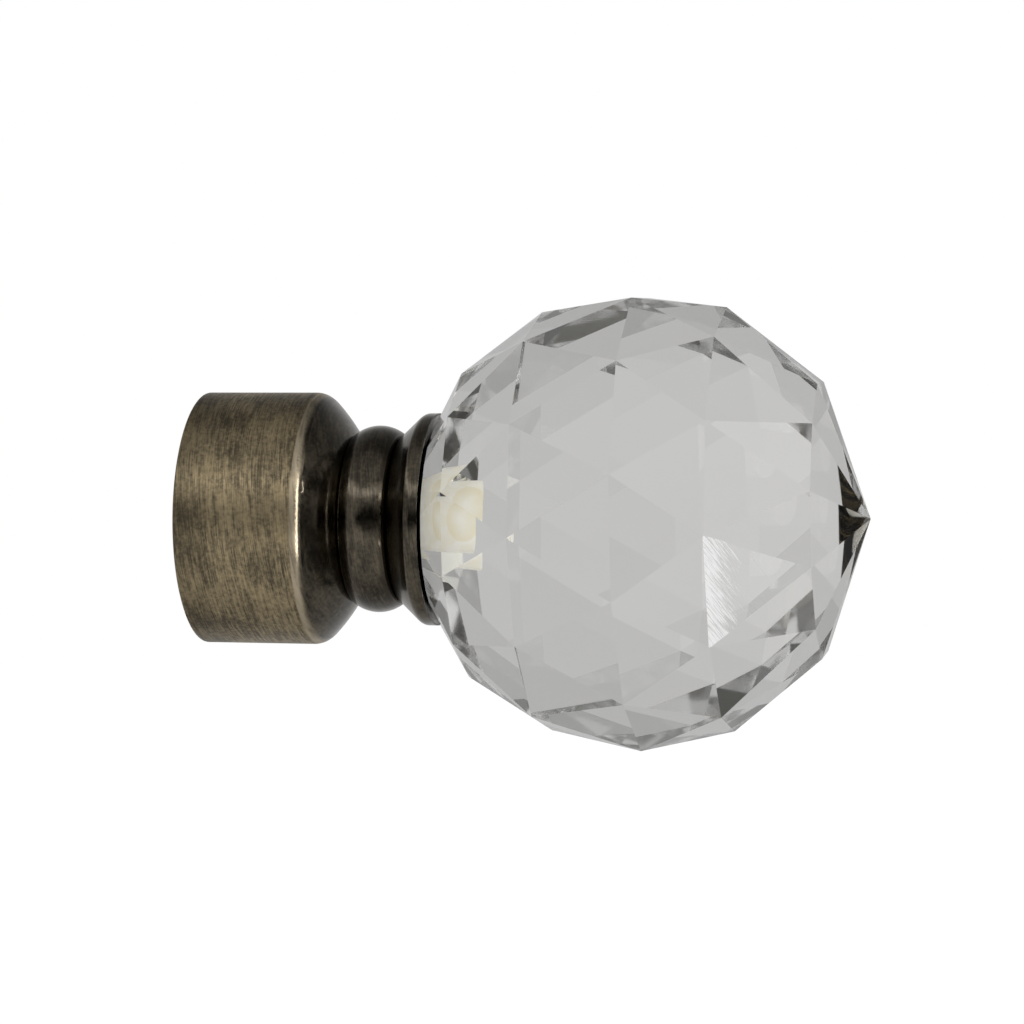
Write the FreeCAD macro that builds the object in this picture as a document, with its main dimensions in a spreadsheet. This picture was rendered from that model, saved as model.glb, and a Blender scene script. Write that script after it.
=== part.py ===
import FreeCAD, Part
import Sketcher
import math
import os
import re

# Curtain pole finial: a cut glass ball on a turned brass socket, bead and cup.
# The axis runs along +X from the centre of the socket's mouth, at the origin, to the tip of the ball.
# +Z is up. Lengths are millimetres and angles are degrees.
SIZES = {
    # Socket that slides over the pole's end
    "pole_diameter": 28.0,
    "pole_clearance": 0.2,
    "socket_wall": 2.5,
    "bore_depth": 13.0,
    "front_wall": 2.4,
    "shoulder_length": 4.5,
    "shoulder_crown": 26.0,
    "shoulder_round": 2.7,
    "nose_diameter": 21.8,
    "edge_round": 0.25,
    # Grub screw that grips the pole, backed off so that the bore is clear
    "grub_diameter": 4.0,
    "grub_length": 3.0,
    "grub_position": 6.5,
    "grub_turn": 50.0,
    "grub_retreat": 0.2,
    "grub_chamfer": 0.4,
    "grub_key": 2.0,
    "grub_key_depth": 1.5,
    # Stud, washer and nut that clamp the stack
    "stud_diameter": 6.0,
    "stud_clearance": 0.2,
    "stud_chamfer": 0.6,
    "thread_clearance": 0.05,
    "washer_rim": 3.0,
    "washer_thickness": 1.6,
    "nut_wall": 2.0,
    "nut_height": 3.2,
    "nut_chamfer_angle": 30.0,
    "nut_sink": 0.2,
    "recess_clearance": 1.5,
    # Bead between socket and cup
    "bead_width": 6.1,
    "bead_diameter": 24.7,
    "bead_rise": 1.1,
    "bead_round": 0.6,
    # Cup with a spherical seat, inset from the ball's sphere because the facets lie inside it
    "cup_foot_diameter": 21.6,
    "cup_floor": 3.3,
    "seat_depth": 1.7,
    "seat_inset": 0.15,
    "lip_land": 0.25,
    "lip_length": 1.6,
    "lip_round": 1.35,
    # Adhesive around the stud in the ball's hole, down to the cup's floor
    "adhesive_wall": 0.6,
    "stud_end_gap": 1.0,
    # Ball: corners lie on rings of a sphere, placed by the angle from the tip, from ring to ring or from the back
    "ball_diameter": 60.0,
    "ball_flat": 2.1,
    "ball_gap": 0.3,
    "hole_depth": 14.1,
    "facet_count": 12,
    "tip_angle": 37.2,
    "first_band_angle": 29.2,
    "second_band_angle": 22.0,
    "third_band_angle": 25.5,
    "fourth_band_angle": 23.2,
    "back_angle": 17.5,
    "facet_phase": 19.0,
    # The ball as it was glued: tip a little up, and a little towards the room
    "ball_lean": 1.1,
    "ball_swing": 0.3,
}

# Radii
BORE_RADIUS = "(pole_diameter / 2 + pole_clearance)"
BARREL_RADIUS = f"({BORE_RADIUS} + socket_wall)"
STUD_RADIUS = "(stud_diameter / 2)"
STUD_HOLE_RADIUS = f"({STUD_RADIUS} + stud_clearance)"
WASHER_RADIUS = f"({STUD_RADIUS} + washer_rim)"
RECESS_RADIUS = f"({WASHER_RADIUS} + recess_clearance)"
NUT_WIDTH = "(stud_diameter + 2 * nut_wall)"
BALL_HOLE_RADIUS = f"({STUD_RADIUS} + adhesive_wall)"
NOSE_RADIUS = "(nose_diameter / 2)"
FOOT_RADIUS = "(cup_foot_diameter / 2)"
BEAD_EDGE_RADIUS = "(bead_diameter / 2 - bead_rise)"
BEAD_CROWN = "(((bead_width / 2) ^ 2 + bead_rise ^ 2) / (2 * bead_rise))"

# Places along the axis
NUT_X = "(bore_depth + nut_sink)"
WASHER_X = f"({NUT_X} + nut_height)"
RECESS_X = f"({WASHER_X} + washer_thickness)"
NOSE_X = f"({RECESS_X} + front_wall)"
SHOULDER_X = f"({NOSE_X} - shoulder_length)"
CUP_X = f"({NOSE_X} + bead_width)"
FLOOR_X = f"({CUP_X} + cup_floor)"
BALL_FLAT_X = f"({FLOOR_X} + ball_gap)"
BALL_X = f"({BALL_FLAT_X} + ball_diameter / 2 - ball_flat)"
STUD_END_X = f"({BALL_FLAT_X} + hole_depth - stud_end_gap)"

# Spherical seat of the cup, about the ball's centre
SEAT_RADIUS = "(ball_diameter / 2 - seat_inset)"
SEAT_FLOOR_RADIUS = f"sqrt({SEAT_RADIUS} ^ 2 - ({BALL_X} - {FLOOR_X}) ^ 2)"
SEAT_MOUTH_RADIUS = f"sqrt({SEAT_RADIUS} ^ 2 - ({BALL_X} - {FLOOR_X} - seat_depth) ^ 2)"
LIP_RADIUS = f"({SEAT_MOUTH_RADIUS} + lip_land)"
CUP_HEIGHT = "(cup_floor + seat_depth)"
LIP_START = f"({CUP_HEIGHT} - lip_length)"

# Widths of the bands between the ball's rings, in order from the tip
BAND_ANGLES = ("first_band_angle", "second_band_angle", "third_band_angle", "fourth_band_angle")

AXIS_X = FreeCAD.Vector(1, 0, 0)
AXIS_Y = FreeCAD.Vector(0, 1, 0)
AXIS_Z = FreeCAD.Vector(0, 0, 1)
FULL_TURN = 360
HALF_TURN = 180
HEX_SIDES = 6
FIT_TOLERANCE = 1e-4

doc = FreeCAD.newDocument("curtain_pole_finial")
sheet = doc.addObject("Spreadsheet::Sheet", "Sizes")
for row, (alias, size) in enumerate(SIZES.items(), start=1):
    sheet.set(f"A{row}", alias)
    sheet.set(f"B{row}", str(size))
    sheet.setAlias(f"B{row}", alias)
doc.recompute()


def from_sheet(text):
    """An expression with each size's name pointed at its cell."""
    return re.sub(r"[a-z_]+", lambda m: f"Sizes.{m[0]}" if m[0] in SIZES else m[0], text)


def value(text):
    """The present number of an expression in the sheet's names."""
    return float(sheet.evalExpression(from_sheet(text)))


def bind(obj, **sizes):
    """Ties properties to expressions; a double underscore stands for the dot of a nested one."""
    for name, text in sizes.items():
        obj.setExpression(name.replace("__", "."), from_sheet(text))


def new_body(label):
    body = doc.addObject("PartDesign::Body", label)
    body.Label = label
    return body


def new_sketch(body, name, support):
    """A sketch on one of the body's own planes, given by role, or on a face as (feature, face)."""
    sketch = body.newObject("Sketcher::SketchObject", name)
    if isinstance(support, str):
        plane = next(p for p in body.Origin.OriginFeatures if p.Role == support)
        support = (plane, "")
    sketch.AttachmentSupport = [support]
    sketch.MapMode = "FlatFace"
    return sketch


def hold(sketch, kind, name, text, *places):
    """A named dimension of the sketch, tied to the sheet."""
    sketch.addConstraint(Sketcher.Constraint(kind, *places, value(text)))
    sketch.renameConstraint(sketch.ConstraintCount - 1, name)
    sketch.setExpression(f"Constraints.{name}", from_sheet(text))


def hold_point(sketch, name, edge, end, across, up):
    """Fixes one end of an edge at (across, up) from the sketch's origin; "0" puts it on the axis."""
    for kind, mark, text, axis in (("DistanceX", "x", across, -2), ("DistanceY", "y", up, -1)):
        if text == "0":
            sketch.addConstraint(Sketcher.Constraint("PointOnObject", edge, end, axis))
        else:
            hold(sketch, kind, f"{mark}_{name}", text, -1, 1, edge, end)


def arc_between(start, end, radius):
    """The shorter arc that runs anticlockwise from start to end."""
    chord = end - start
    middle = (start + end) * 0.5
    rise = math.sqrt(max(radius ** 2 - (chord.Length / 2) ** 2, 0.0))
    centre = middle + FreeCAD.Vector(-chord.y, chord.x, 0).normalize() * rise
    angles = [math.atan2(p.y - centre.y, p.x - centre.x) for p in (start, end)]
    if angles[1] < angles[0]:
        angles[1] += 2 * math.pi
    return Part.ArcOfCircle(Part.Circle(centre, AXIS_Z, radius), *angles)


def draw_outline(sketch, name, corners, arcs=None):
    """A closed outline through corners (across, up). Edge k runs from corner k to the next one.

    It is straight unless arcs gives its (radius, clockwise) for a round edge.
    """
    arcs = arcs or {}
    first = sketch.GeometryCount
    count = len(corners)
    points = [FreeCAD.Vector(value(x), value(y), 0) for x, y in corners]
    ends = []
    for k, start in enumerate(points):
        following = points[(k + 1) % count]
        if k not in arcs:
            sketch.addGeometry(Part.LineSegment(start, following), False)
            ends.append((1, 2))
            continue
        radius, clockwise = arcs[k]
        if clockwise:
            sketch.addGeometry(arc_between(following, start, value(radius)), False)
            ends.append((2, 1))
        else:
            sketch.addGeometry(arc_between(start, following, value(radius)), False)
            ends.append((1, 2))
    for k in range(count):
        after = (k + 1) % count
        joint = (first + k, ends[k][1], first + after, ends[after][0])
        sketch.addConstraint(Sketcher.Constraint("Coincident", *joint))
    for k, (x, y) in enumerate(corners):
        hold_point(sketch, f"{name}_{k}", first + k, ends[k][0], x, y)
    for k, (radius, _) in arcs.items():
        hold(sketch, "Radius", f"radius_{name}_{k}", radius, first + k)


def draw_circle(sketch, name, across, up, radius):
    centre = FreeCAD.Vector(value(across), value(up), 0)
    circle = sketch.addGeometry(Part.Circle(centre, AXIS_Z, value(radius)), False)
    hold_point(sketch, name, circle, 3, across, up)
    hold(sketch, "Radius", f"radius_{name}", radius, circle)


def draw_hexagon(sketch, width):
    """A regular hexagon about the sketch's origin, of the given width across its flats."""
    reach = f"({width} / sqrt(3))"
    corners = []
    for k in range(HEX_SIDES):
        angle = 2 * math.pi * k / HEX_SIDES
        corners.append(FreeCAD.Vector(math.cos(angle), math.sin(angle), 0) * value(reach))
    sides = []
    for k, corner in enumerate(corners):
        side = Part.LineSegment(corner, corners[(k + 1) % HEX_SIDES])
        sides.append(sketch.addGeometry(side, False))
    guide = sketch.addGeometry(Part.Circle(FreeCAD.Vector(), AXIS_Z, value(reach)), True)
    sketch.addConstraint(Sketcher.Constraint("Coincident", guide, 3, -1, 1))
    hold(sketch, "Radius", "hexagon_reach", reach, guide)
    for k, side in enumerate(sides):
        following = sides[(k + 1) % HEX_SIDES]
        sketch.addConstraint(Sketcher.Constraint("Coincident", side, 2, following, 1))
        sketch.addConstraint(Sketcher.Constraint("PointOnObject", side, 1, guide))
    for side in sides[1:-1]:
        sketch.addConstraint(Sketcher.Constraint("Equal", sides[0], side))
    sketch.addConstraint(Sketcher.Constraint("PointOnObject", sides[0], 1, -1))


def turn(body, corners, arcs=None):
    """A turned blank: the outline of (along the axis, radius) corners swept right round the X axis."""
    sketch = new_sketch(body, f"{body.Label}_outline", "XZ_Plane")
    draw_outline(sketch, "corner", corners, arcs)
    blank = body.newObject("PartDesign::Revolution", f"{body.Label}_turning")
    blank.Profile = sketch
    blank.ReferenceAxis = (sketch, ["H_Axis"])
    blank.Angle = FULL_TURN
    doc.recompute()
    return blank


def ring_edges(feature, along, radius):
    """Names of the circular edges of the given radius that lie at a place on the X axis."""
    names = []
    for number, edge in enumerate(feature.Shape.Edges, start=1):
        curve = edge.Curve
        if not isinstance(curve, Part.Circle):
            continue
        off_place = abs(curve.Center.x - along)
        off_size = abs(curve.Radius - radius)
        if max(off_place, off_size) < FIT_TOLERANCE:
            names.append(f"Edge{number}")
    return names


def round_rings(body, feature, name, places, radius):
    """Rounds the circular edges at the given (along, radius) places."""
    edges = []
    for along, size in places:
        edges += ring_edges(feature, value(along), value(size))
    fillet = body.newObject("PartDesign::Fillet", f"{body.Label}_{name}")
    fillet.Base = (feature, edges)
    bind(fillet, Radius=radius)
    doc.recompute()
    return fillet


def rod(name, radius, length, along):
    """A plain cylinder on the X axis that starts at a place along it."""
    cylinder = doc.addObject("Part::Cylinder", name)
    bind(cylinder, Radius=radius, Height=length)
    cylinder.Placement = FreeCAD.Placement(FreeCAD.Vector(), FreeCAD.Rotation(AXIS_Z, AXIS_X))
    bind(cylinder, Placement__Base__x=along)
    return cylinder


def cut(label, base, tool):
    result = doc.addObject("Part::Cut", label)
    result.Label = label
    result.Base = base
    result.Tool = tool
    doc.recompute()
    return result


def make_pole_socket():
    """Turned cap with a pole bore, a recess for the nut, a crowned shoulder and a tapped side hole."""
    body = new_body("pole_socket")
    corners = [
        ("0", BORE_RADIUS),
        ("0", BARREL_RADIUS),
        (SHOULDER_X, BARREL_RADIUS),
        (NOSE_X, NOSE_RADIUS),
        (NOSE_X, STUD_HOLE_RADIUS),
        (RECESS_X, STUD_HOLE_RADIUS),
        (RECESS_X, RECESS_RADIUS),
        ("bore_depth", RECESS_RADIUS),
        ("bore_depth", BORE_RADIUS),
    ]
    blank = turn(body, corners, {2: ("shoulder_crown", True)})
    shoulder = round_rings(body, blank, "shoulder", [(SHOULDER_X, BARREL_RADIUS)], "shoulder_round")
    rim_and_nose = [("0", BARREL_RADIUS), (NOSE_X, NOSE_RADIUS)]
    edges = round_rings(body, shoulder, "edges", rim_and_nose, "edge_round")
    sketch = new_sketch(body, "grub_hole_outline", "XY_Plane")
    draw_circle(sketch, "grub_hole", "grub_position", "0", "(grub_diameter / 2 + thread_clearance)")
    hole = body.newObject("PartDesign::Pocket", "grub_hole")
    hole.Profile = sketch
    hole.Type = "ThroughAll"
    doc.recompute()
    if hole.Shape.Volume >= edges.Shape.Volume:
        raise RuntimeError("the grub screw's hole cuts nothing")
    body.Placement = FreeCAD.Placement(FreeCAD.Vector(), FreeCAD.Rotation(AXIS_X, value("grub_turn")))
    bind(body, Placement__Rotation__Angle="grub_turn")
    return body


def make_bead_ring():
    """Turned ring with a crowned rim."""
    body = new_body("bead_ring")
    corners = [
        ("0", STUD_HOLE_RADIUS),
        ("0", BEAD_EDGE_RADIUS),
        ("bead_width", BEAD_EDGE_RADIUS),
        ("bead_width", STUD_HOLE_RADIUS),
    ]
    blank = turn(body, corners, {1: (BEAD_CROWN, True)})
    rims = [("0", BEAD_EDGE_RADIUS), ("bead_width", BEAD_EDGE_RADIUS)]
    round_rings(body, blank, "rims", rims, "bead_round")
    bind(body, Placement__Base__x=NOSE_X)
    return body


def make_ball_cup():
    """Turned cup that flares from its foot to a short lip around a spherical seat."""
    body = new_body("ball_cup")
    corners = [
        ("0", STUD_HOLE_RADIUS),
        ("0", FOOT_RADIUS),
        (LIP_START, LIP_RADIUS),
        (CUP_HEIGHT, LIP_RADIUS),
        (CUP_HEIGHT, SEAT_MOUTH_RADIUS),
        ("cup_floor", SEAT_FLOOR_RADIUS),
        ("cup_floor", STUD_HOLE_RADIUS),
    ]
    blank = turn(body, corners, {4: (SEAT_RADIUS, False)})
    flare = round_rings(body, blank, "flare", [(LIP_START, LIP_RADIUS)], "lip_round")
    round_rings(body, flare, "foot", [("0", FOOT_RADIUS)], "edge_round")
    bind(body, Placement__Base__x=CUP_X)
    return body


def facet_corners(radius):
    """Rings of corners on the ball's sphere, from the tip's ring to the back's, each half a step round."""
    count = round(value("facet_count"))
    step = FULL_TURN / count
    polar_angles = [value("tip_angle")]
    for band in BAND_ANGLES:
        polar_angles.append(polar_angles[-1] + value(band))
    polar_angles.append(HALF_TURN - value("back_angle"))
    swing = FreeCAD.Rotation(AXIS_Z, -value("ball_swing"))
    lean = swing.multiply(FreeCAD.Rotation(AXIS_Y, -value("ball_lean")))
    rings = []
    for number, polar in enumerate(polar_angles):
        start = value("facet_phase") - (number % 2) * step / 2
        ring = []
        for k in range(count):
            spoke = FreeCAD.Rotation(AXIS_X, start + step * k).multVec(-AXIS_Y)
            across = math.sin(math.radians(polar))
            along = math.cos(math.radians(polar))
            ring.append(lean.multVec((AXIS_X * along + spoke * across) * radius))
        rings.append(ring)
    return lean.multVec(AXIS_X * radius), rings, lean.multVec(-AXIS_X * radius)


def facet_triangles(tip, rings, back):
    """Triangles that close the ball: a fan at the tip, staggered bands, and a fan at the back."""
    count = len(rings[0])
    triangles = []
    for k in range(count):
        after = (k + 1) % count
        triangles.append((tip, rings[0][k], rings[0][after]))
        triangles.append((back, rings[-1][after], rings[-1][k]))
    for number, (near, far) in enumerate(zip(rings, rings[1:])):
        shift = number % 2
        for k in range(count):
            after = (k + 1) % count
            behind = far[(k + 1 - shift) % count]
            behind_after = far[(k + 2 - shift) % count]
            triangles.append((near[k], behind, near[after]))
            triangles.append((near[after], behind, behind_after))
    return triangles


def make_crystal_ball():
    """Cut glass ball with a ground flat and a drilled hole at its back, both square to the axis."""
    faces = []
    for triangle in facet_triangles(*facet_corners(value("ball_diameter / 2"))):
        faces.append(Part.Face(Part.makePolygon([*triangle, triangle[0]])))
    solid = Part.Solid(Part.Shell(faces))
    if solid.Volume < 0:
        solid.reverse()
    form = doc.addObject("Part::Feature", "facet_form")
    form.Shape = solid
    form.Placement = FreeCAD.Placement(AXIS_X * value(BALL_X), FreeCAD.Rotation())
    bind(form, Placement__Base__x=BALL_X)
    grinder = doc.addObject("Part::Box", "flat_grinder")
    bind(grinder, Length="ball_diameter", Width="ball_diameter", Height="ball_diameter")
    bind(
        grinder,
        Placement__Base__x=f"{BALL_FLAT_X} - ball_diameter",
        Placement__Base__y="-ball_diameter / 2",
        Placement__Base__z="-ball_diameter / 2",
    )
    ground = cut("ground_ball", form, grinder)
    drill = rod("ball_drill", BALL_HOLE_RADIUS, "ball_gap + hole_depth", FLOOR_X)
    return cut("crystal_ball", ground, drill)


def make_ball_adhesive():
    """Cured adhesive: a plug around the stud that fills the ball's hole and stands on the cup's floor."""
    body = new_body("ball_adhesive")
    plug_end = "(ball_gap + hole_depth)"
    stud_end = f"({plug_end} - stud_end_gap)"
    corners = [
        ("0", STUD_RADIUS),
        ("0", BALL_HOLE_RADIUS),
        (plug_end, BALL_HOLE_RADIUS),
        (plug_end, "0"),
        (stud_end, "0"),
        (stud_end, STUD_RADIUS),
    ]
    turn(body, corners)
    bind(body, Placement__Base__x=FLOOR_X)
    return body


def make_threaded_stud():
    """Stud from the nut's outer face, where it is chamfered, to near the end of the ball's hole."""
    body = new_body("threaded_stud")
    length = f"({STUD_END_X} - {NUT_X})"
    corners = [
        ("0", "0"),
        ("0", f"({STUD_RADIUS} - stud_chamfer)"),
        ("stud_chamfer", STUD_RADIUS),
        (length, STUD_RADIUS),
        (length, "0"),
    ]
    turn(body, corners)
    bind(body, Placement__Base__x=NUT_X)
    return body


def make_stud_washer():
    """Plain washer on the floor of the nut's recess."""
    disc = rod("washer_disc", WASHER_RADIUS, "washer_thickness", WASHER_X)
    bore = rod("washer_bore", STUD_HOLE_RADIUS, "washer_thickness", WASHER_X)
    return cut("stud_washer", disc, bore)


def make_stud_nut():
    """Thin hexagon nut, with the corners of both faces chamfered."""
    body = new_body("stud_nut")
    sketch = new_sketch(body, "nut_outline", "YZ_Plane")
    draw_hexagon(sketch, NUT_WIDTH)
    draw_circle(sketch, "nut_bore", "0", "0", f"({STUD_RADIUS} + thread_clearance)")
    block = body.newObject("PartDesign::Pad", "nut_block")
    block.Profile = sketch
    bind(block, Length="nut_height")
    doc.recompute()
    inner = f"({NUT_WIDTH} / 2)"
    slope = f"(({WASHER_RADIUS} - {inner}) * tan(nut_chamfer_angle * 1deg))"
    sketch = new_sketch(body, "nut_chamfer_outline", "XZ_Plane")
    near = [("0", inner), ("0", WASHER_RADIUS), (slope, WASHER_RADIUS)]
    far_slope = f"(nut_height - {slope})"
    far = [("nut_height", inner), ("nut_height", WASHER_RADIUS), (far_slope, WASHER_RADIUS)]
    draw_outline(sketch, "near", near)
    draw_outline(sketch, "far", far)
    chamfer = body.newObject("PartDesign::Groove", "nut_chamfer")
    chamfer.Profile = sketch
    chamfer.ReferenceAxis = (sketch, ["H_Axis"])
    chamfer.Angle = FULL_TURN
    doc.recompute()
    if chamfer.Shape.Volume >= block.Shape.Volume:
        raise RuntimeError("the nut's chamfer cuts nothing")
    bind(body, Placement__Base__x=NUT_X)
    return body


def make_grub_screw():
    """Headless screw with a hexagon key socket, standing outwards through the socket's wall."""
    body = new_body("grub_screw")
    sketch = new_sketch(body, "grub_outline", "XY_Plane")
    draw_circle(sketch, "grub", "0", "0", "(grub_diameter / 2)")
    shank = body.newObject("PartDesign::Pad", "grub_shank")
    shank.Profile = sketch
    bind(shank, Length="grub_length")
    doc.recompute()
    rims = []
    for number, edge in enumerate(shank.Shape.Edges, start=1):
        if isinstance(edge.Curve, Part.Circle):
            rims.append(f"Edge{number}")
    chamfer = body.newObject("PartDesign::Chamfer", "grub_ends")
    chamfer.Base = (shank, rims)
    bind(chamfer, Size="grub_chamfer")
    doc.recompute()
    heights = [face.CenterOfMass.z for face in chamfer.Shape.Faces]
    top_face = f"Face{heights.index(max(heights)) + 1}"
    sketch = new_sketch(body, "grub_key_outline", (chamfer, top_face))
    draw_hexagon(sketch, "grub_key")
    key = body.newObject("PartDesign::Pocket", "grub_key_socket")
    key.Profile = sketch
    bind(key, Length="grub_key_depth")
    doc.recompute()
    if key.Shape.Volume >= chamfer.Shape.Volume:
        raise RuntimeError("the grub screw's key socket cuts nothing")
    tip_radius = f"({BORE_RADIUS} + grub_retreat)"
    outward = FreeCAD.Rotation(AXIS_X, HALF_TURN + value("grub_turn"))
    body.Placement = FreeCAD.Placement(FreeCAD.Vector(), outward)
    bind(
        body,
        Placement__Rotation__Angle="180 + grub_turn",
        Placement__Base__x="grub_position",
        Placement__Base__y=f"{tip_radius} * sin(grub_turn * 1deg)",
        Placement__Base__z=f"-{tip_radius} * cos(grub_turn * 1deg)",
    )
    return body


pieces = [
    make_pole_socket(),
    make_bead_ring(),
    make_ball_cup(),
    make_crystal_ball(),
    make_ball_adhesive(),
    make_threaded_stud(),
    make_stud_washer(),
    make_stud_nut(),
    make_grub_screw(),
]
doc.recompute()

for obj in doc.Objects:
    if {"Invalid", "Error"} & set(obj.State):
        raise RuntimeError(f"{obj.Name} failed to build: {obj.State}")
for piece in pieces:
    shape = piece.Shape
    if shape.isNull() or not shape.isValid() or len(shape.Solids) != 1:
        raise RuntimeError(f"{piece.Label} is not one sound solid")

os.makedirs("parts", exist_ok=True)
for piece in pieces:
    piece.Shape.exportStep(f"parts/{piece.Label}.step")
    print(piece.Label, round(piece.Shape.Volume, 1), piece.Shape.BoundBox)
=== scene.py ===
import math

import bmesh
import bpy
from mathutils import Matrix, Vector


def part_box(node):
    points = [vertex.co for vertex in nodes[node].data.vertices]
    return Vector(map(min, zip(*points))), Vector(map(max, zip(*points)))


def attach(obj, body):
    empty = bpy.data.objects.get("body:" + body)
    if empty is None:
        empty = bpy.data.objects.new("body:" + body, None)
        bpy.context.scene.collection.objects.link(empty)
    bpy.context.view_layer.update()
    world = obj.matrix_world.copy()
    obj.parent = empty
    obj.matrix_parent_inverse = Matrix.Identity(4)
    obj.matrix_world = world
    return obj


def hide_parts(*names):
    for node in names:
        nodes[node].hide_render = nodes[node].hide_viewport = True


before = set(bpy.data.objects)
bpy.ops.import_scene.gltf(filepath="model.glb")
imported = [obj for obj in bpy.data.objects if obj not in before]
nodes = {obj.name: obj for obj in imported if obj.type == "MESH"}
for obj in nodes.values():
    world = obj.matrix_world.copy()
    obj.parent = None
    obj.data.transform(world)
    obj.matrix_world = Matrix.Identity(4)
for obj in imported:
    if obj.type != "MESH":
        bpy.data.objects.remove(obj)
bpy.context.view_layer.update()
scene = bpy.context.scene

# Lengths are metres, in the frame of the part: +X from the socket's mouth to the ball's tip, +Z up.
MM = 0.001
UP = Vector((0, 0, 1))

# Camera, set by the photograph's view of the ball
LENS_MM = 100.0
SENSOR_MM = 36.0
CLIP_START = 0.01
CAMERA_AZIMUTH = 11.0
CAMERA_ROLL = 0.5
BALL_RIGHT_OF_CENTRE = 16.5 * MM
BALL_BELOW_CENTRE = 1.2 * MM
BALL_DEPTH = 370.0 * MM

# Places on the part, read from the frame
socket_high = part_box("pole_socket")[1]
bead_low, bead_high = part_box("bead_ring")
cup_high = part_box("ball_cup")[1]
ball_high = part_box("crystal_ball")[1]
glue_low, glue_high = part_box("ball_adhesive")
stud_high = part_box("threaded_stud")[1]
BALL_RADIUS = 30.0 * MM
BALL_CENTRE = Vector((ball_high.x - BALL_RADIUS, 0, 0))
NECK = Vector((bead_low.x, 0, 0))

# Shoulder's edge, and the seam between bead and cup, in millimetres along the axis
SHOULDER_LENGTH = 4.5
SHOULDER_X = socket_high.x / MM - SHOULDER_LENGTH
SEAM_X = bead_high.x / MM


def direction(azimuth, elevation):
    """A unit vector towards a place round the part: azimuth 0 is -Y, and 90 is +X."""
    a, e = math.radians(azimuth), math.radians(elevation)
    return Vector((math.sin(a) * math.cos(e), -math.cos(a) * math.cos(e), math.sin(e)))


class Graph:
    """Short calls that add nodes to one node tree."""

    def __init__(self, tree):
        self.tree = tree
        tree.nodes.clear()

    def add(self, kind, settings=None, **inputs):
        """Adds a node. Settings are its properties; inputs are sockets by name, as values or links."""
        node = self.tree.nodes.new(f"ShaderNode{kind}")
        for name, setting in (settings or {}).items():
            setattr(node, name, setting)
        for name, source in inputs.items():
            self.feed(node, name.replace("_", " "), source)
        return node

    def feed(self, node, socket, source):
        target = node.inputs[socket]
        if isinstance(source, bpy.types.NodeSocket):
            self.tree.links.new(source, target)
        else:
            target.default_value = source

    def math(self, operation, *operands, clamp=False):
        node = self.add("Math", {"operation": operation, "use_clamp": clamp})
        for socket, operand in zip(range(3), operands):
            self.feed(node, socket, operand)
        return node.outputs[0]

    def total(self, *terms):
        """The sum of (value, weight) terms."""
        result = 0.0
        for source, weight in terms:
            result = self.math("MULTIPLY_ADD", source, weight, result)
        return result

    def step(self, source, low, high, to_low=0.0, to_high=1.0):
        """A smooth change from to_low to to_high while the source goes from low to high."""
        node = self.add("MapRange", {"interpolation_type": "SMOOTHSTEP"})
        for socket, operand in zip(range(5), (source, low, high, to_low, to_high)):
            self.feed(node, socket, operand)
        return node.outputs[0]

    def bump_between(self, source, low, top_low, top_high, high):
        """1 from top_low to top_high, falling smoothly to 0 at low and high."""
        rise = self.step(source, low, top_low)
        fall = self.step(source, top_high, high, 1.0, 0.0)
        return self.math("MULTIPLY", rise, fall)

    def mix(self, factor, first, second):
        """A colour that goes from first to second with the factor."""
        node = self.add("Mix", {"data_type": "RGBA"})
        for socket, operand in ((0, factor), (6, first), (7, second)):
            self.feed(node, socket, operand)
        return node.outputs[2]

    def blend(self, factor, first, second):
        """A number that goes from first to second with the factor."""
        node = self.add("Mix", {"data_type": "FLOAT"})
        for socket, operand in ((0, factor), (2, first), (3, second)):
            self.feed(node, socket, operand)
        return node.outputs[0]

    def mix_shaders(self, factor, first, second):
        node = self.add("MixShader", Fac=factor)
        self.feed(node, 1, first.outputs[0])
        self.feed(node, 2, second.outputs[0])
        return node

    def noise(self, vector, scale, detail=2.0, roughness=0.5):
        node = self.add("TexNoise", Vector=vector, Scale=scale, Detail=detail, Roughness=roughness)
        return node.outputs["Fac"]

    def join(self, x, y, z):
        return self.add("CombineXYZ", X=x, Y=y, Z=z).outputs[0]

    def between(self, operation, first, second):
        """The number that a vector operation gives for two vectors."""
        node = self.add("VectorMath", {"operation": operation})
        self.feed(node, 0, first)
        self.feed(node, 1, second)
        return node.outputs["Value"]

    def dot(self, first, second):
        return self.between("DOT_PRODUCT", first, second)

    def distance(self, first, second):
        return self.between("DISTANCE", first, second)


def new_material(name):
    material = bpy.data.materials.new(name)
    material.use_nodes = True
    return material, Graph(material.node_tree)


def finish_material(graph, shader):
    output = graph.add("OutputMaterial")
    graph.feed(output, "Surface", shader.outputs[0])


def grey(value):
    return (value, value, value, 1.0)


def off_axis(graph, y, z):
    """Distance from the axis."""
    return graph.math("SQRT", graph.math("ADD", graph.math("MULTIPLY", y, y), graph.math("MULTIPLY", z, z)))


def place_on_axis(graph):
    """Place, millimetres along the axis and out from it, and the Y and Z of the unit vector that points out."""
    here = graph.add("TexCoord").outputs["Object"]
    x, y, z = graph.add("SeparateXYZ", Vector=here).outputs
    radius = off_axis(graph, y, z)
    out_y, out_z = graph.math("DIVIDE", y, radius), graph.math("DIVIDE", z, radius)
    return here, graph.math("DIVIDE", x, MM), graph.math("DIVIDE", radius, MM), out_y, out_z


def brush_marks(graph, along, out_y, out_z, across, around, detail=2.0):
    """Noise drawn out round the axis: so many marks to the millimetre across, and to the radian around."""
    vector = graph.join(
        graph.math("MULTIPLY", along, across),
        graph.math("MULTIPLY", out_y, around),
        graph.math("MULTIPLY", out_z, around),
    )
    return graph.noise(vector, 1.0, detail=detail, roughness=0.6)


# Marks on a face across the axis are rings, with this share of the marks to the millimetre
RING_MARKS = 0.45
# Millimetres by which the brush marks lean from the middle of the barrel to its top
BRUSH_LEAN = 1.5
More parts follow.
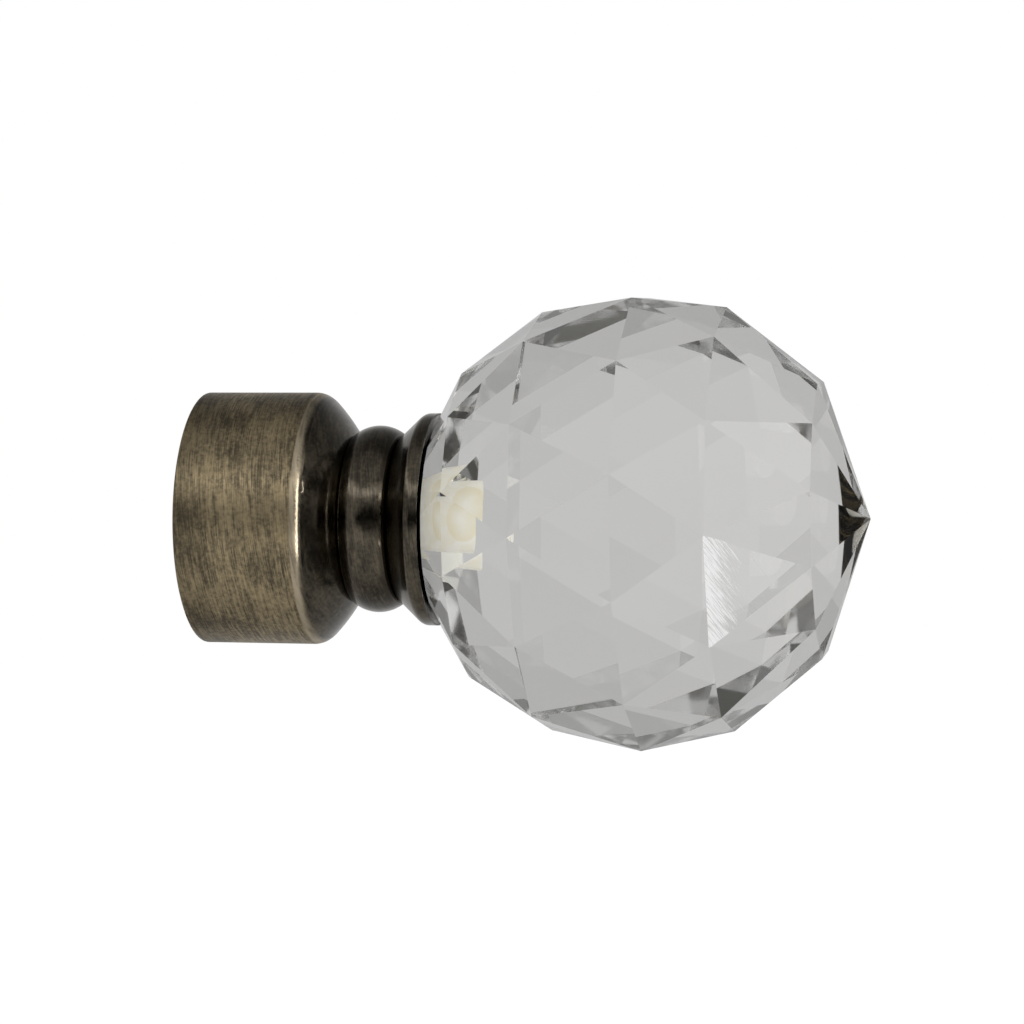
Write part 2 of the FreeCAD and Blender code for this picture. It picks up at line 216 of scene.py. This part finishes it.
# Marks to the millimetre across and to the radian around, and scales of the blotches to the metre
FINE_MARKS = (7.5, 5.0)
BROAD_MARKS = (2.4, 3.5)
MOTTLE_SCALE = 1900.0
PATCH_SCALE = 150.0
GRAIN_DEPTH = 0.03 * MM

BARREL_DARK = (0.095, 0.078, 0.053, 1)
BARREL_LIGHT = (0.43, 0.343, 0.205, 1)
NECK_DARK = (0.045, 0.04, 0.032, 1)
NECK_LIGHT = (0.15, 0.127, 0.093, 1)
RUBBED = (0.5, 0.425, 0.31, 1)
# Dark brass for the tarnish at the socket's mouth and for the painted shade at the seam between bead and cup,
# with how far each darkens the metal
TARNISH_AND_SHADE = (0.05, 0.042, 0.03, 1)
MOUTH_TARNISH = 0.35
SEAM_SHADE = 0.7


def brass_material():
    """Antique brass: brushed round the barrel, smoother and darker past the shoulder, rubbed at its edge, with
    painted shade at the seam between bead and cup.
    """
    material, graph = new_material("antique_brass_brushed")
    here, along, radius, out_y, out_z = place_on_axis(graph)
    slanted = graph.total((along, 1.0), (radius, RING_MARKS), (out_z, BRUSH_LEAN))
    fine = brush_marks(graph, slanted, out_y, out_z, *FINE_MARKS, detail=3.0)
    broad = brush_marks(graph, slanted, out_y, out_z, *BROAD_MARKS)
    mottle = graph.noise(here, MOTTLE_SCALE, detail=3.0, roughness=0.65)
    patches = graph.noise(here, PATCH_SCALE)
    neck = graph.step(along, SHOULDER_X - 0.3, SHOULDER_X + 0.8)

    tone = graph.total((fine, 0.35), (broad, 0.25), (mottle, 0.3), (patches, 0.3))
    gold = graph.step(tone, 0.48, 0.76)
    barrel = graph.mix(gold, BARREL_DARK, BARREL_LIGHT)
    turned = graph.mix(gold, NECK_DARK, NECK_LIGHT)
    colour = graph.mix(neck, barrel, turned)
    edge = graph.bump_between(along, SHOULDER_X - 0.6, SHOULDER_X - 0.35, SHOULDER_X, SHOULDER_X + 0.7)
    rub = graph.math("MULTIPLY", edge, graph.step(broad, 0.3, 0.6, 0.35, 0.85))
    colour = graph.mix(rub, colour, RUBBED)
    mouth = graph.step(along, 0.5, 6.0, MOUTH_TARNISH, 0.0)
    # Painted shade: the brass is darkened towards the seam between bead and cup, where shade falls
    seam = graph.bump_between(along, SEAM_X - 1.0, SEAM_X - 0.5, SEAM_X, SEAM_X + 0.5)
    tarnish_and_shade = graph.math("MAXIMUM", mouth, graph.math("MULTIPLY", seam, SEAM_SHADE))
    colour = graph.mix(tarnish_and_shade, colour, TARNISH_AND_SHADE)

    rough = graph.blend(
        neck,
        graph.step(fine, 0.3, 0.7, 0.44, 0.32),
        graph.step(mottle, 0.3, 0.7, 0.10, 0.18),
    )
    relief = graph.total((fine, 0.7), (mottle, 0.3))
    bump = graph.add("Bump", Distance=GRAIN_DEPTH, Height=relief, Strength=graph.blend(neck, 0.3, 0.08))
    around = graph.add("Tangent", {"direction_type": "RADIAL", "axis": "X"})
    shader = graph.add("BsdfPrincipled", Metallic=1.0, Anisotropic=0.3, Base_Color=colour, Roughness=rough)
    graph.feed(shader, "Normal", bump.outputs[0])
    graph.feed(shader, "Tangent", around.outputs[0])
    finish_material(graph, shader)
    return material


# Scuffed facet: the way it faces, and its fine scratches, which run down to the right
SCUFF_FACING = direction(37, -15)
SCUFF_WAY = Vector((0.64, 0.12, -0.77))
SCUFF_ACROSS = Vector((0.76, 0.14, 0.64))
SCUFF_LENGTH = 3 * MM
SCUFF_WIDTH = 0.14 * MM
SCUFF_REACH = 6.5 * MM
SCUFF_COVER = 0.8
SCUFF_WHITE = grey(0.9)
# Depth within which a point counts as lying on a face
FACE_TOLERANCE = 0.03 * MM


def scuffed_facet():
    """Corner, inward way and normal of the ball's facet that is scuffed."""
    mesh = nodes["crystal_ball"].data
    facet = max(mesh.polygons, key=lambda polygon: polygon.normal.dot(SCUFF_FACING))
    corners = sorted((mesh.vertices[k].co for k in facet.vertices), key=lambda corner: corner.x)
    edge = (corners[1] - corners[0]).normalized()
    inward = corners[2] - corners[0]
    inward = (inward - edge * inward.dot(edge)).normalized()
    return corners[0], inward, facet.normal.copy()


def hairlines(graph, here, way, across, length, width):
    """Noise drawn out along a way, for marks of about the given length and width."""
    vector = graph.join(
        graph.math("DIVIDE", graph.dot(here, way), length),
        graph.math("DIVIDE", graph.dot(here, across), width),
        graph.math("DIVIDE", graph.dot(here, way.cross(across)), length),
    )
    return graph.noise(vector, 1.0, roughness=0.6)


def offset_along(graph, here, corner, way):
    """Distance from a corner, measured along a way."""
    return graph.math("SUBTRACT", graph.dot(here, way), corner.dot(way))


def scuff_marks(graph, here):
    """Cover of the fine scratches, which fade from one edge of the scuffed facet."""
    corner, inward, normal = scuffed_facet()
    off_plane = graph.math("ABSOLUTE", offset_along(graph, here, corner, normal))
    on_facet = graph.math("LESS_THAN", off_plane, FACE_TOLERANCE)
    reach = graph.step(offset_along(graph, here, corner, inward), 0.0, SCUFF_REACH, 1.0, 0.0)
    streaks = hairlines(graph, here, SCUFF_WAY, SCUFF_ACROSS, SCUFF_LENGTH, SCUFF_WIDTH)
    worn = graph.total((streaks, 1.0), (reach, 0.36))
    return graph.math("MULTIPLY", on_facet, graph.step(worn, 0.60, 0.92, 0.0, SCUFF_COVER))


# Turned rings on the cup's floor
FLOOR_RING = 0.35 * MM
FLOOR_DARK = (0.02, 0.017, 0.012, 1)
FLOOR_LIGHT = (0.5, 0.38, 0.2, 1)
# Height above the cup's lip to which the film that bonds the ball stands
SEAT_FILM = 0.25 * MM


def bonded_brass(graph, radius):
    """The cup's dark turned floor as it shows through the flat that is bonded to it."""
    rings = graph.noise(graph.join(graph.math("DIVIDE", radius, FLOOR_RING), 0.0, 0.0), 1.0)
    colour = graph.mix(graph.step(rings, 0.5, 0.72), FLOOR_DARK, FLOOR_LIGHT)
    return graph.add("BsdfPrincipled", Metallic=1.0, Roughness=0.22, Base_Color=colour)


CREAM_DARK = (0.93, 0.90, 0.80, 1)
CREAM_LIGHT = (0.98, 0.97, 0.94, 1)
CREAM_CLOUDS = 420.0
# Rounded drop in the adhesive near the end of the hole, on the side towards the room
DROP_CENTRE = Vector((glue_high.x - 2.2 * MM, -glue_high.z, 0.5 * MM))
DROP_RADIUS = 2.8 * MM
DROP_RIM = (0.80, 0.70, 0.44, 1)
DROP_RIM_COVER = 0.45


def cream_adhesive(graph, here):
    """Cured cream adhesive with faint clouding, and a drop with a yellow rim."""
    cloud = graph.noise(here, CREAM_CLOUDS, detail=4.0, roughness=0.6)
    colour = graph.mix(graph.step(cloud, 0.35, 0.65), CREAM_DARK, CREAM_LIGHT)
    off_drop = graph.distance(here, DROP_CENTRE)
    rim = graph.math(
        "MULTIPLY",
        graph.step(off_drop, 0.2 * DROP_RADIUS, 0.95 * DROP_RADIUS),
        graph.step(off_drop, 0.95 * DROP_RADIUS, 1.08 * DROP_RADIUS, DROP_RIM_COVER, 0.0),
    )
    return graph.add("BsdfPrincipled", Roughness=0.45, Base_Color=graph.mix(rim, colour, DROP_RIM))


GLASS_TINT = (0.985, 0.98, 0.965, 1)
GLASS_IOR = 1.52
HAZE_SCALE = 160.0
HAIRLINE_WAY = direction(70, 35)
HAIRLINE_ACROSS = direction(-20, 20)
HAIRLINE_LENGTH = 9 * MM
HAIRLINE_WIDTH = 0.15 * MM


def glass_material():
    """Clear cut glass with a trace of haze, hairline scratches and a scuffed facet.

    Where it is bonded, it shows what it is bonded to: adhesive in the hole, and the cup's brass at the flat.
    """
    material, graph = new_material("crystal_glass_cut")
    here = graph.add("TexCoord").outputs["Object"]
    x, y, z = graph.add("SeparateXYZ", Vector=here).outputs
    radius = off_axis(graph, y, z)
    haze = graph.step(graph.noise(here, HAZE_SCALE, detail=4.0, roughness=0.6), 0.3, 0.8, 0.02, 0.06)
    lines = hairlines(graph, here, HAIRLINE_WAY, HAIRLINE_ACROSS, HAIRLINE_LENGTH, HAIRLINE_WIDTH)
    scratch = graph.step(lines, 0.70, 0.76, 0.0, 0.12)
    glass = graph.add("BsdfPrincipled", IOR=GLASS_IOR, Base_Color=GLASS_TINT, Transmission_Weight=1.0)
    graph.feed(glass, "Roughness", graph.math("MAXIMUM", haze, scratch))
    scuffed = graph.mix_shaders(scuff_marks(graph, here), glass, graph.add("BsdfDiffuse", Color=SCUFF_WHITE))
    in_reach = graph.math("LESS_THAN", x, glue_high.x + FACE_TOLERANCE)
    in_hole = graph.math("LESS_THAN", radius, glue_high.z + FACE_TOLERANCE)
    hole = graph.math("MULTIPLY", in_reach, in_hole)
    with_hole = graph.mix_shaders(hole, scuffed, cream_adhesive(graph, here))
    flat = graph.math("LESS_THAN", x, cup_high.x + SEAT_FILM)
    finish_material(graph, graph.mix_shaders(flat, with_hole, bonded_brass(graph, radius)))
    return material


def adhesive_material():
    material, graph = new_material("cream_adhesive_cured")
    here = graph.add("TexCoord").outputs["Object"]
    finish_material(graph, cream_adhesive(graph, here))
    return material


TURNING_MARKS = (6.0, 1.0)
STEEL_CLOUDS = 500.0


def steel_material(name, dark, light, roughness):
    """Plated steel with turning marks."""
    material, graph = new_material(name)
    here, along, radius, out_y, out_z = place_on_axis(graph)
    place = graph.total((along, 1.0), (radius, RING_MARKS))
    turned = brush_marks(graph, place, out_y, out_z, *TURNING_MARKS, detail=3.0)
    cloud = graph.noise(here, STEEL_CLOUDS, detail=3.0)
    tone = graph.total((turned, 0.6), (cloud, 0.4))
    shader = graph.add("BsdfPrincipled", Metallic=1.0)
    graph.feed(shader, "Base Color", graph.mix(graph.step(tone, 0.3, 0.7), dark, light))
    graph.feed(shader, "Roughness", graph.step(cloud, 0.3, 0.7, roughness, roughness + 0.12))
    finish_material(graph, shader)
    return material


def set_material(obj, material):
    for slot in obj.material_slots:
        slot.material = material


def new_piece(name, mesh):
    piece = bpy.data.objects.new(name, mesh)
    scene.collection.objects.link(piece)
    return piece


def lathe(name, profile, segments):
    """A closed mesh turned about the X axis from (along, radius) points; radius 0 closes on the axis."""
    mesh = bpy.data.meshes.new(name)
    shape = bmesh.new()
    angles = [2 * math.pi * k / segments for k in range(segments)]
    rings = []
    for along, radius in profile:
        if radius == 0:
            places = [(along, 0, 0)]
        else:
            places = [(along, radius * math.cos(a), radius * math.sin(a)) for a in angles]
        rings.append([shape.verts.new(place) for place in places])
    for near, far in zip(rings, rings[1:] + rings[:1]):
        for k in range(segments):
            after = (k + 1) % segments
            corners = [near[k % len(near)], near[after % len(near)], far[after % len(far)], far[k % len(far)]]
            unique = list(dict.fromkeys(corners))
            if len(unique) > 2:
                shape.faces.new(unique)
    bmesh.ops.recalc_face_normals(shape, faces=shape.faces)
    shape.to_mesh(mesh)
    shape.free()
    return mesh


# Air film left between the adhesive and the glass as it cured
CURE_GAP = 0.04 * MM
PLUG_SEGMENTS = 96


def make_adhesive():
    """The adhesive around the stud, a hair clear of the hole in the glass."""
    stud_radius = stud_high.z
    plug_radius = glue_high.z - CURE_GAP
    plug_end = glue_high.x - CURE_GAP
    profile = [
        (glue_low.x, stud_radius),
        (glue_low.x, plug_radius),
        (plug_end, plug_radius),
        (plug_end, 0),
        (stud_high.x, 0),
        (stud_high.x, stud_radius),
    ]
    piece = new_piece("adhesive_plug", lathe("adhesive_plug", profile, PLUG_SEGMENTS))
    piece.data.materials.append(adhesive_material())
    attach(piece, "root")
    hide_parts("ball_adhesive")


def make_camera():
    back = direction(CAMERA_AZIMUTH, 0)
    level_right = UP.cross(back)
    roll = math.radians(CAMERA_ROLL)
    right = level_right * math.cos(roll) + UP * math.sin(roll)
    up = UP * math.cos(roll) - level_right * math.sin(roll)
    camera = bpy.data.objects.new("camera", bpy.data.cameras.new("camera"))
    scene.collection.objects.link(camera)
    camera.data.lens = LENS_MM
    camera.data.sensor_width = SENSOR_MM
    camera.data.clip_start = CLIP_START
    place = BALL_CENTRE - right * BALL_RIGHT_OF_CENTRE + up * BALL_BELOW_CENTRE + back * BALL_DEPTH
    axes = Matrix((right, up, back)).transposed().to_4x4()
    camera.matrix_world = Matrix.Translation(place) @ axes
    scene.camera = camera


# Studio light by direction. The back half falls off to the right, upwards and away from the horizon.
STUDIO_BACK = 0.57
BACK_RIGHT = -0.09
BACK_UPWARD = -0.03
BACK_OFF_LEVEL = -0.20
# Loss at the back, above, in what metal and the faces of the glass mirror
STUDIO_ABOVE = 0.22
# Front half for rays that the facets throw back inside the glass
STUDIO_FRONT = 0.05
FRONT_HIGH = 0.08
FRONT_LOW = -0.03
STUDIO_STRIP = 1.2
STRIP_AZIMUTH = 58
WARM_SHADE = (1.0, 0.99, 0.87, 1)
# Front half for mirrored rays, and its bright bands by height
STUDIO_FRONT_MIRRORED = 0.50
STUDIO_KEY = 1.4
KEY_BAND = (0.38, 0.50, 0.54, 0.66)
STUDIO_LOW_KEY = 0.12
LOW_KEY_BAND = (-0.50, -0.38, -0.32, -0.18)
STUDIO_BOUNCE = 0.18
BOUNCE_BAND = (-1.0, -0.8, -0.3, -0.02)
# Dark screens: azimuth, angle off it where they end and where they are full, and height where they end
STUDIO_DARK = 0.03
SCREENS = ((16, 27, 17, 0.45), (90, 36, 22, 0.26))
MIRRORED_SCREENS = ((-11, 16, 6, 0.24), (32, 24, 12, 0.40), (120, 52, 40, 0.40))
# A ray that goes straight through the glass has bent twice
THROUGH_DEPTH = 2.5
DIFFUSE_LEVEL = 1.0
WHITE = 1.0


def dark_screen(graph, way, azimuth, outer, inner, height):
    """1 within the inner angle of a level direction and near the horizon, falling to 0 at the outer angle."""
    facing = graph.dot(way, direction(azimuth, 0))
    level = graph.math("ABSOLUTE", graph.dot(way, UP))
    near_horizon = graph.step(level, 0.2 * height, height, 1.0, 0.0)
    near = graph.step(facing, math.cos(math.radians(outer)), math.cos(math.radians(inner)))
    return graph.math("MULTIPLY", near, near_horizon)


def upright_strip(graph, way, azimuth):
    """1 on a soft upright strip that stands in a level direction."""
    facing = graph.step(graph.dot(way, direction(azimuth, 0)), 0.1, 0.4)
    sideways = graph.math("ABSOLUTE", graph.dot(way, direction(azimuth + 90, 0)))
    upright = graph.math("ABSOLUTE", graph.dot(way, UP))
    narrow = graph.math("MULTIPLY", facing, graph.step(sideways, 0.08, 0.18, 1.0, 0.0))
    return graph.math("MULTIPLY", narrow, graph.step(upright, 0.25, 0.5, 1.0, 0.0))


def studio_light(graph, way, path):
    """Colour and brightness of the studio in a direction.

    It is pale all round for rays that go straight through the glass. Rays that the facets throw back inside
    it see a dark front and right side. Metal and the faces of the glass mirror a soft front light, brightest
    a third of the way up, with dark screens near the camera and on the right.
    """
    x, y, z = graph.add("SeparateXYZ", Vector=way).outputs
    refracted_ray = path["Is Transmission Ray"]
    mirrored_ray = graph.math("SUBTRACT", 1.0, refracted_ray)
    through = graph.math("LESS_THAN", path["Ray Depth"], THROUGH_DEPTH)
    thrown_back = graph.math("SUBTRACT", refracted_ray, through, clamp=True)
    behind = graph.step(y, -0.3, 0.2)
    z_squared = graph.math("MULTIPLY", z, z)
    back = graph.total((x, BACK_RIGHT), (z, BACK_UPWARD), (z_squared, BACK_OFF_LEVEL), (STUDIO_BACK, 1.0))

    high = graph.step(z, 0.6, 0.9)
    low = graph.step(z, -0.8, -0.3, 1.0, 0.0)
    strip = upright_strip(graph, way, STRIP_AZIMUTH)
    shade = graph.total((high, FRONT_HIGH), (low, FRONT_LOW), (strip, STUDIO_STRIP), (STUDIO_FRONT, 1.0))
    shade = graph.blend(thrown_back, back, shade)
    key = graph.bump_between(z, *KEY_BAND)
    low_key = graph.bump_between(z, *LOW_KEY_BAND)
    bounce = graph.bump_between(z, *BOUNCE_BAND)
    mirrored = graph.total(
        (key, STUDIO_KEY), (low_key, STUDIO_LOW_KEY), (bounce, STUDIO_BOUNCE), (STUDIO_FRONT_MIRRORED, 1.0)
    )
    front = graph.blend(refracted_ray, mirrored, shade)
    above = graph.math("MULTIPLY", mirrored_ray, graph.step(z, 0.25, 0.65))
    level = graph.blend(behind, front, graph.math("MULTIPLY_ADD", above, -STUDIO_ABOVE, back))
    uneven = graph.noise(way, 2.6, detail=1.0)
    level = graph.math("MULTIPLY", level, graph.step(uneven, 0.3, 0.7, 0.95, 1.04))

    screened = graph.math("MAXIMUM", mirrored_ray, thrown_back)
    for rays, screens in ((screened, SCREENS), (mirrored_ray, MIRRORED_SCREENS)):
        for screen in screens:
            dark = graph.math("MULTIPLY", rays, dark_screen(graph, way, *screen))
            level = graph.blend(dark, level, STUDIO_DARK)
    scattered = graph.math("GREATER_THAN", path["Diffuse Depth"], 0.5)
    level = graph.blend(scattered, level, DIFFUSE_LEVEL)
    shaded = graph.math("MULTIPLY", thrown_back, graph.math("SUBTRACT", 1.0, behind))
    return graph.mix(shaded, grey(1.0), WARM_SHADE), level


def make_world():
    """White behind the part; other rays see the studio."""
    world = bpy.data.worlds.new("studio")
    scene.world = world
    world.use_nodes = True
    graph = Graph(world.node_tree)
    way = graph.add("TexCoord").outputs["Generated"]
    path = graph.add("LightPath").outputs
    colour, level = studio_light(graph, way, path)
    level = graph.blend(path["Is Camera Ray"], level, WHITE)
    background = graph.add("Background", Color=colour, Strength=level)
    output = graph.add("OutputWorld")
    graph.feed(output, "Surface", background.outputs[0])


# Floor, far below the part because a pole holds it up
FLOOR_DROP = 0.90
FLOOR_SIZE = 30.0
FLOOR_ALBEDO = 0.12
FLOOR_GLOW = 0.9


def make_floor():
    """Pale floor: white to the camera apart from the part's shadow, and part of the studio to other rays."""
    half = FLOOR_SIZE / 2
    mesh = bpy.data.meshes.new("floor")
    corners = [(-half, -half), (half, -half), (half, half), (-half, half)]
    mesh.from_pydata([(x, y, -FLOOR_DROP) for x, y in corners], [], [(0, 1, 2, 3)])
    floor = new_piece("floor", mesh)
    material, graph = new_material("pale_floor")
    here = graph.add("TexCoord").outputs["Object"]
    way = graph.add("VectorMath", {"operation": "NORMALIZE"}, Vector=here).outputs["Vector"]
    path = graph.add("LightPath").outputs
    colour, level = studio_light(graph, way, path)
    level = graph.math("MAXIMUM", graph.math("SUBTRACT", level, FLOOR_ALBEDO), 0.0)
    glow = graph.blend(path["Is Camera Ray"], level, FLOOR_GLOW)
    matte = graph.add("BsdfDiffuse", Color=grey(FLOOR_ALBEDO))
    light = graph.add("Emission", Color=colour, Strength=glow)
    both = graph.add("AddShader")
    graph.feed(both, 0, matte.outputs[0])
    graph.feed(both, 1, light.outputs[0])
    finish_material(graph, both)
    mesh.materials.append(material)


# Strip lamp on the right, which gives the shoulder's edge its gleam
LAMP_DISTANCE = 0.8
LAMP_WIDTH = 0.15
LAMP_HEIGHT = 0.8
LAMP_RADIANCE = 8.0


def make_lamp():
    """An upright strip lamp that faces the neck and lights gloss alone. Its power comes from its radiance."""
    lamp = bpy.data.lights.new("strip_right", "AREA")
    lamp.shape = "RECTANGLE"
    lamp.size = LAMP_WIDTH
    lamp.size_y = LAMP_HEIGHT
    lamp.energy = LAMP_RADIANCE * math.pi * LAMP_WIDTH * LAMP_HEIGHT
    obj = bpy.data.objects.new("strip_right", lamp)
    scene.collection.objects.link(obj)
    back = direction(STRIP_AZIMUTH, 0)
    obj.location = NECK + back * LAMP_DISTANCE
    obj.rotation_euler = back.to_track_quat("Z", "Y").to_euler()
    obj.visible_camera = False
    obj.visible_transmission = False
    obj.visible_diffuse = False


PLATED_DARK, PLATED_LIGHT, PLATED_ROUGHNESS = (0.42, 0.41, 0.38, 1), (0.7, 0.69, 0.65, 1), 0.28
OXIDE_DARK, OXIDE_LIGHT, OXIDE_ROUGHNESS = (0.02, 0.02, 0.022, 1), (0.09, 0.09, 0.1, 1), 0.35

brass = brass_material()
for node in ("pole_socket", "bead_ring", "ball_cup"):
    set_material(nodes[node], brass)
set_material(nodes["crystal_ball"], glass_material())
plated = steel_material("plated_steel_turned", PLATED_DARK, PLATED_LIGHT, PLATED_ROUGHNESS)
for node in ("threaded_stud", "stud_washer", "stud_nut"):
    set_material(nodes[node], plated)
oxide = steel_material("dark_steel_oxide", OXIDE_DARK, OXIDE_LIGHT, OXIDE_ROUGHNESS)
set_material(nodes["grub_screw"], oxide)
make_adhesive()
make_camera()
make_world()
make_floor()
make_lamp()

# Light is followed through many facets
scene.cycles.max_bounces = 40
scene.cycles.glossy_bounces = 24
scene.cycles.transmission_bounces = 40
scene.view_settings.view_transform = "Standard"
